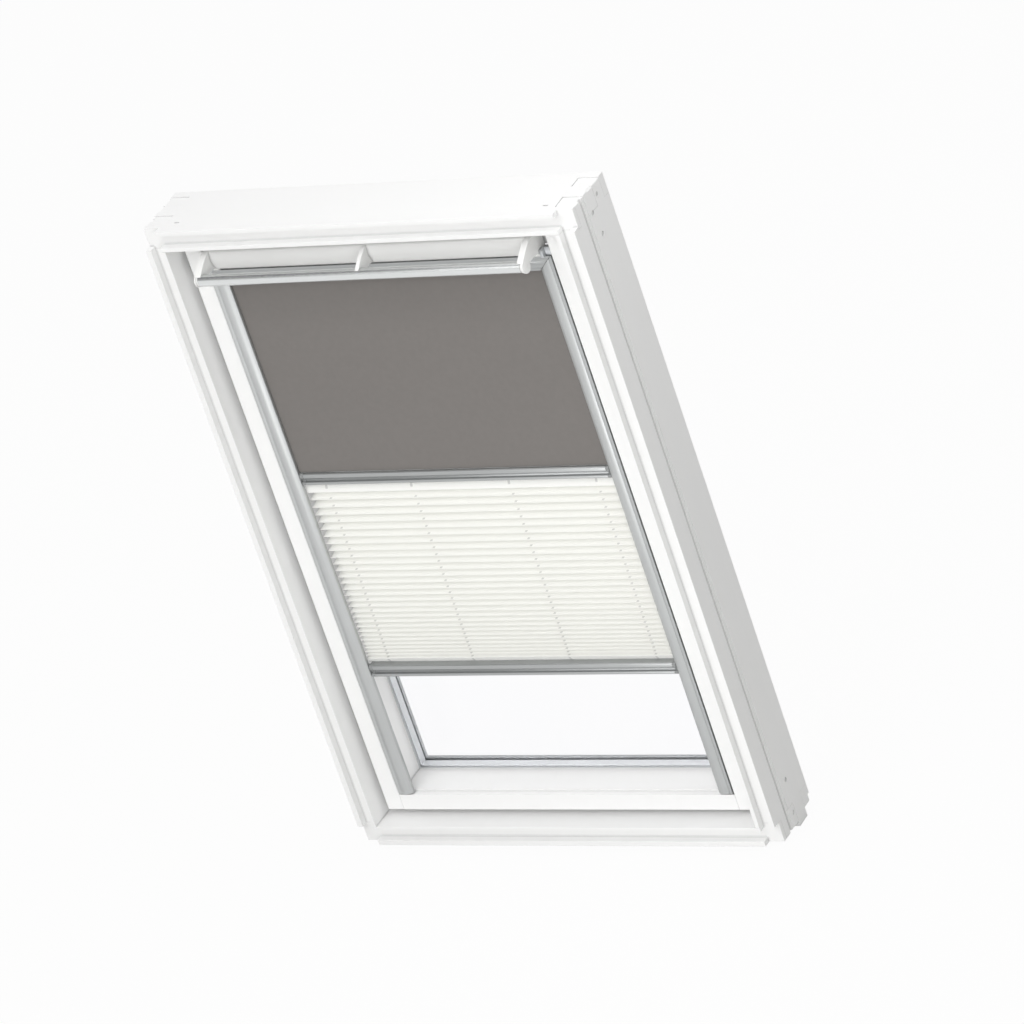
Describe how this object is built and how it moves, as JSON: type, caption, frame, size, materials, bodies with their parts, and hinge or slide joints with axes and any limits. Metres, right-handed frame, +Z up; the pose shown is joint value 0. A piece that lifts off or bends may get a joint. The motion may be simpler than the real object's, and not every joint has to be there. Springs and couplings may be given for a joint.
{
  "type": "roof window with duo blind",
  "caption": "Centre-pivot roof window: white timber frame with finger-jointed corners, turning glazed sash, control bar, and a duo blind of blackout cloth over pleated cloth.",
  "frame": {"origin": "middle of the window's width, on the sill's underside, in the plane of the frame's bare corner face behind the mouldings", "axes": "+Z up the window from sill to head; +Y from the room to the outside; +X to the right as seen from the room"},
  "size_m": [0.78, 0.172, 1.188],
  "materials": {
    "painted_timber": "white satin lacquer on timber",
    "white_plastic": "white, satin",
    "satin_aluminium": "satin anodised",
    "cover_aluminium": "grey coated sheet",
    "zinc_steel": "zinc plated",
    "glazing": "clear float",
    "black_rubber": "matt black",
    "grey_plastic": "grey, fine grained",
    "blackout_fabric": "coated blackout cloth, beige grey",
    "pleated_fabric": "white pleated cloth, light filtering"
  },
  "bodies": {
    "frame": {"frame_jamb_right": "painted_timber", "frame_jamb_left": "painted_timber", "frame_head": "painted_timber", "frame_sill": "painted_timber", "frame_seal_upper": "black_rubber", "frame_seal_lower": "black_rubber", "frame_cover_right": "cover_aluminium", "frame_cover_left": "cover_aluminium", "frame_cover_top": "cover_aluminium", "frame_cover_bottom": "cover_aluminium", "pivot_plate_right": "zinc_steel", "pivot_plate_left": "zinc_steel", "latch_striker": "zinc_steel", "bolt_bush_lower": "zinc_steel", "bolt_bush_upper": "zinc_steel"},
    "sash": {"sash_stile_right": "painted_timber", "sash_stile_left": "painted_timber", "sash_rail_top": "painted_timber", "sash_rail_bottom": "painted_timber", "glass_inner_pane": "glazing", "glass_outer_pane": "glazing", "glass_spacer": "satin_aluminium", "glazing_gasket": "black_rubber", "sash_cover_right": "cover_aluminium", "sash_cover_left": "cover_aluminium", "sash_cover_top": "cover_aluminium", "sash_cover_bottom": "cover_aluminium", "pivot_pin_right": "zinc_steel", "pivot_pin_left": "zinc_steel", "latch_case": "zinc_steel", "hinge_ear_right": "zinc_steel", "hinge_ear_left": "zinc_steel", "blind_casing": "satin_aluminium", "casing_cap_right": "grey_plastic", "casing_cap_left": "grey_plastic", "side_rail_right": "satin_aluminium", "side_rail_left": "satin_aluminium", "blackout_cloth": "blackout_fabric", "pleated_cloth": "pleated_fabric"},
    "roller": {"roller_tube": "satin_aluminium", "roller_cloth": "blackout_fabric", "roller_plug_right": "grey_plastic", "roller_plug_left": "grey_plastic", "roller_spring": "zinc_steel"},
    "upper_bar": {"upper_bar": "satin_aluminium", "upper_bar_glide_right": "grey_plastic", "upper_bar_glide_left": "grey_plastic"},
    "lower_bar": {"lower_bar": "satin_aluminium", "lower_bar_glide_right": "grey_plastic", "lower_bar_glide_left": "grey_plastic"},
    "control_bar": {"control_bar": "satin_aluminium", "control_bar_cap_right": "white_plastic", "control_bar_cap_left": "white_plastic", "bar_bracket_right": "white_plastic", "bar_bracket_left": "white_plastic", "bar_bracket_middle": "white_plastic", "vent_flap": "white_plastic"},
    "latch_bolt": {"latch_bolt": "zinc_steel"},
    "barrel_bolt": {"barrel_bolt": "zinc_steel"}
  },
  "joints": [
    {"name": "sash_pivot", "type": "hinge", "parent": "frame", "child": "sash", "pos_m": [0, 0.05999, 0.589], "axis": [1, 0, 0], "range_deg": [0, 180]},
    {"name": "bar_turn", "type": "hinge", "parent": "sash", "child": "control_bar", "pos_m": [0, 0.018, 1.094], "axis": [1, 0, 0], "range_deg": [0, 40]},
    {"name": "latch_slide", "type": "slide", "parent": "sash", "child": "latch_bolt", "axis": [0, 0, 1], "range_m": [-0.005, 0]},
    {"name": "upper_bar_slide", "type": "slide", "parent": "sash", "child": "upper_bar", "axis": [0, 0, 1], "range_m": [-0.311, 0.355], "deforming": ["blackout_cloth", "pleated_cloth"]},
    {"name": "roller_spin", "type": "hinge", "parent": "sash", "child": "roller", "pos_m": [0, 0.04035, 1.0739], "axis": [1, 0, 0], "range_deg": [-1810, 1585]},
    {"name": "lower_bar_slide", "type": "slide", "parent": "sash", "child": "lower_bar", "axis": [0, 0, 1], "range_m": [-0.227, 0.311], "deforming": ["pleated_cloth"]},
    {"name": "barrel_bolt_slide", "type": "slide", "parent": "sash", "child": "barrel_bolt", "axis": [1, 0, 0], "range_m": [0, 0.016]}
  ],
  "couplings": [
    {"joint": "latch_slide", "follows": "bar_turn", "m_per_rad": -0.007},
    {"joint": "roller_spin", "follows": "upper_bar_slide", "rad_per_m": -88.496}
  ]
}
